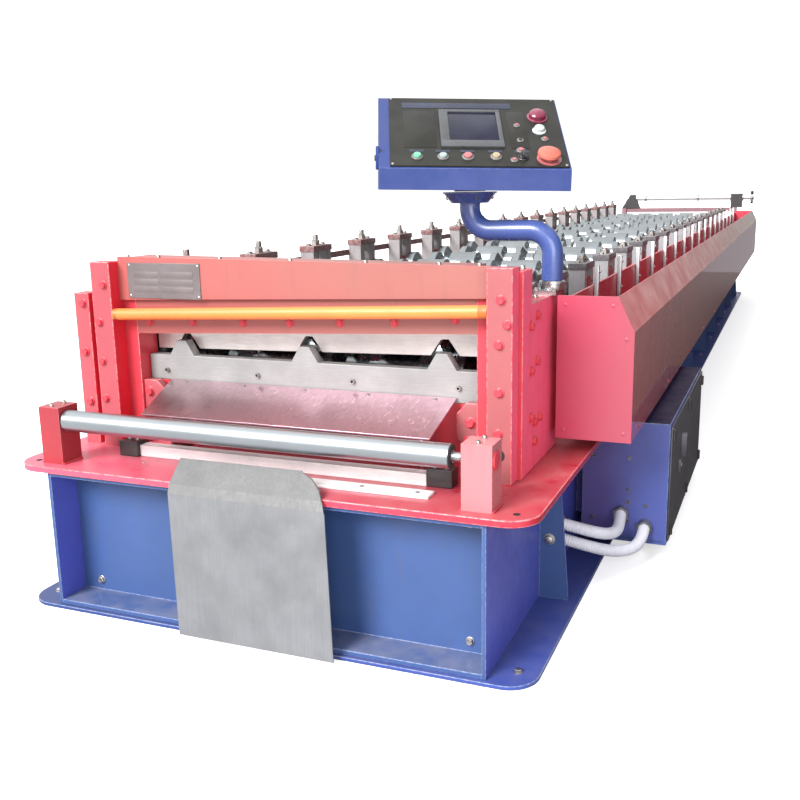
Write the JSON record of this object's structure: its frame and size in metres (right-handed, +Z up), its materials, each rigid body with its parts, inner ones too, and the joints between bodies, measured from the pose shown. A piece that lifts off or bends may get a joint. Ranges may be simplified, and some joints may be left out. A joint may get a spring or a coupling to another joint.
{
  "type": "roll forming machine",
  "caption": "Roll forming machine for ribbed roofing sheet: long bed of roller stations, profile shear and run-out roller at the delivery end, chain guard, control box on a swivel arm.",
  "frame": {"origin": "centre of the base underside, on the floor", "axes": "+X to the drive side, +Y from the delivery end to the feed end, +Z up"},
  "size_m": [1.936, 9.934, 1.5975],
  "materials": {
    "red_paint": "satin",
    "blue_paint": "satin",
    "bright_steel": "satin",
    "dark_steel": "satin",
    "galvanised": "matte",
    "yellow_paint": "satin",
    "black_panel": "satin",
    "grey_sleeve": "matte"
  },
  "bodies": {
    "machine": {"adjusting_screws": "dark_steel", "apron_sheet": "galvanised", "arm_base": "bright_steel", "base_bottom_plate": "blue_paint", "base_cross_members": "blue_paint", "base_side_beams": "blue_paint", "bearing_blocks": "red_paint", "bed_plate": "red_paint", "cabinet_door": "dark_steel", "chain_guard": "red_paint", "conduit_fittings": "bright_steel", "conduit_lower": "grey_sleeve", "conduit_upper": "grey_sleeve", "electrical_cabinet": "blue_paint", "feed_end_frame": "red_paint", "feed_shaft_brackets": "dark_steel", "feed_table": "galvanised", "feed_white_bar": "bright_steel", "guard_posts": "bright_steel", "lower_blade": "bright_steel", "lower_blade_beam": "red_paint", "lower_rolls": "bright_steel", "lower_support_bar": "bright_steel", "nameplate": "bright_steel", "outfeed_table": "galvanised", "roller_brackets": "red_paint", "safety_bar": "yellow_paint", "shear_cylinders": "dark_steel", "shear_left_plate": "red_paint", "shear_posts": "red_paint", "shear_right_plate": "red_paint", "shear_top_beam": "red_paint", "stand_frames": "bright_steel", "stand_tie": "dark_steel", "support_bar_blocks": "dark_steel"},
    "knife": {"upper_blade": "bright_steel", "knife_carrier": "red_paint"},
    "arm": {"control_arm": "blue_paint"},
    "control_console": {"control_box": "blue_paint", "control_panel": "black_panel"},
    "runout_roller": {"outfeed_roller": "bright_steel"},
    "feed_shaft": {"feed_adjusting_shaft": "bright_steel"},
    "shaft_01": {"upper_shaft_01": "bright_steel"},
    "shaft_02": {"upper_shaft_02": "bright_steel"},
    "shaft_03": {"upper_shaft_03": "bright_steel"},
    "shaft_04": {"upper_shaft_04": "bright_steel"},
    "shaft_05": {"upper_shaft_05": "bright_steel"},
    "shaft_06": {"upper_shaft_06": "bright_steel"},
    "shaft_07": {"upper_shaft_07": "bright_steel"},
    "shaft_08": {"upper_shaft_08": "bright_steel"},
    "shaft_09": {"upper_shaft_09": "bright_steel"},
    "shaft_10": {"upper_shaft_10": "bright_steel"},
    "shaft_11": {"upper_shaft_11": "bright_steel"},
    "shaft_12": {"upper_shaft_12": "bright_steel"},
    "shaft_13": {"upper_shaft_13": "bright_steel"},
    "shaft_14": {"upper_shaft_14": "bright_steel"},
    "shaft_15": {"upper_shaft_15": "bright_steel"},
    "shaft_16": {"upper_shaft_16": "bright_steel"},
    "shaft_17": {"upper_shaft_17": "bright_steel"},
    "shaft_18": {"upper_shaft_18": "bright_steel"}
  },
  "joints": [
    {"name": "knife_slide", "type": "slide", "parent": "machine", "child": "knife", "axis": [0, 0, -1], "range_m": [0, 0.055]},
    {"name": "arm_swivel", "type": "hinge", "parent": "machine", "child": "arm", "pos_m": [0.712, -4.21, 1.05], "axis": [0, 0, 1], "range_deg": [-90, 60]},
    {"name": "console_swivel", "type": "hinge", "parent": "arm", "child": "control_console", "pos_m": [0.441, -4.21, 1.275], "axis": [0, 0, 1], "range_deg": [-60, 60]},
    {"name": "runout_roller_turn", "type": "hinge", "parent": "machine", "child": "runout_roller", "pos_m": [0, -4.878, 0.612], "axis": [1, 0, 0], "continuous": true},
    {"name": "feed_shaft_turn", "type": "hinge", "parent": "machine", "child": "feed_shaft", "pos_m": [0, 4.75, 1.12], "axis": [1, 0, 0], "continuous": true},
    {"name": "shaft_01_turn", "type": "hinge", "parent": "machine", "child": "shaft_01", "pos_m": [0, -4.27, 0.87], "axis": [1, 0, 0], "continuous": true},
    {"name": "shaft_02_turn", "type": "hinge", "parent": "machine", "child": "shaft_02", "pos_m": [0, -3.765, 0.87], "axis": [1, 0, 0], "continuous": true},
    {"name": "shaft_03_turn", "type": "hinge", "parent": "machine", "child": "shaft_03", "pos_m": [0, -3.26, 0.87], "axis": [1, 0, 0], "continuous": true},
    {"name": "shaft_04_turn", "type": "hinge", "parent": "machine", "child": "shaft_04", "pos_m": [0, -2.755, 0.87], "axis": [1, 0, 0], "continuous": true},
    {"name": "shaft_05_turn", "type": "hinge", "parent": "machine", "child": "shaft_05", "pos_m": [0, -2.25, 0.87], "axis": [1, 0, 0], "continuous": true},
    {"name": "shaft_06_turn", "type": "hinge", "parent": "machine", "child": "shaft_06", "pos_m": [0, -1.745, 0.87], "axis": [1, 0, 0], "continuous": true},
    {"name": "shaft_07_turn", "type": "hinge", "parent": "machine", "child": "shaft_07", "pos_m": [0, -1.24, 0.87], "axis": [1, 0, 0], "continuous": true},
    {"name": "shaft_08_turn", "type": "hinge", "parent": "machine", "child": "shaft_08", "pos_m": [0, -0.735, 0.87], "axis": [1, 0, 0], "continuous": true},
    {"name": "shaft_09_turn", "type": "hinge", "parent": "machine", "child": "shaft_09", "pos_m": [0, -0.23, 0.87], "axis": [1, 0, 0], "continuous": true},
    {"name": "shaft_10_turn", "type": "hinge", "parent": "machine", "child": "shaft_10", "pos_m": [0, 0.275, 0.87], "axis": [1, 0, 0], "continuous": true},
    {"name": "shaft_11_turn", "type": "hinge", "parent": "machine", "child": "shaft_11", "pos_m": [0, 0.78, 0.87], "axis": [1, 0, 0], "continuous": true},
    {"name": "shaft_12_turn", "type": "hinge", "parent": "machine", "child": "shaft_12", "pos_m": [0, 1.285, 0.87], "axis": [1, 0, 0], "continuous": true},
    {"name": "shaft_13_turn", "type": "hinge", "parent": "machine", "child": "shaft_13", "pos_m": [0, 1.79, 0.87], "axis": [1, 0, 0], "continuous": true},
    {"name": "shaft_14_turn", "type": "hinge", "parent": "machine", "child": "shaft_14", "pos_m": [0, 2.295, 0.87], "axis": [1, 0, 0], "continuous": true},
    {"name": "shaft_15_turn", "type": "hinge", "parent": "machine", "child": "shaft_15", "pos_m": [0, 2.8, 0.87], "axis": [1, 0, 0], "continuous": true},
    {"name": "shaft_16_turn", "type": "hinge", "parent": "machine", "child": "shaft_16", "pos_m": [0, 3.305, 0.87], "axis": [1, 0, 0], "continuous": true},
    {"name": "shaft_17_turn", "type": "hinge", "parent": "machine", "child": "shaft_17", "pos_m": [0, 3.81, 0.87], "axis": [1, 0, 0], "continuous": true},
    {"name": "shaft_18_turn", "type": "hinge", "parent": "machine", "child": "shaft_18", "pos_m": [0, 4.315, 0.87], "axis": [1, 0, 0], "continuous": true}
  ],
  "couplings": [
    {"joint": "shaft_02_turn", "follows": "shaft_01_turn", "ratio": 1},
    {"joint": "shaft_03_turn", "follows": "shaft_01_turn", "ratio": 1},
    {"joint": "shaft_04_turn", "follows": "shaft_01_turn", "ratio": 1},
    {"joint": "shaft_05_turn", "follows": "shaft_01_turn", "ratio": 1},
    {"joint": "shaft_06_turn", "follows": "shaft_01_turn", "ratio": 1},
    {"joint": "shaft_07_turn", "follows": "shaft_01_turn", "ratio": 1},
    {"joint": "shaft_08_turn", "follows": "shaft_01_turn", "ratio": 1},
    {"joint": "shaft_09_turn", "follows": "shaft_01_turn", "ratio": 1},
    {"joint": "shaft_10_turn", "follows": "shaft_01_turn", "ratio": 1},
    {"joint": "shaft_11_turn", "follows": "shaft_01_turn", "ratio": 1},
    {"joint": "shaft_12_turn", "follows": "shaft_01_turn", "ratio": 1},
    {"joint": "shaft_13_turn", "follows": "shaft_01_turn", "ratio": 1},
    {"joint": "shaft_14_turn", "follows": "shaft_01_turn", "ratio": 1},
    {"joint": "shaft_15_turn", "follows": "shaft_01_turn", "ratio": 1},
    {"joint": "shaft_16_turn", "follows": "shaft_01_turn", "ratio": 1},
    {"joint": "shaft_17_turn", "follows": "shaft_01_turn", "ratio": 1},
    {"joint": "shaft_18_turn", "follows": "shaft_01_turn", "ratio": 1}
  ]
}
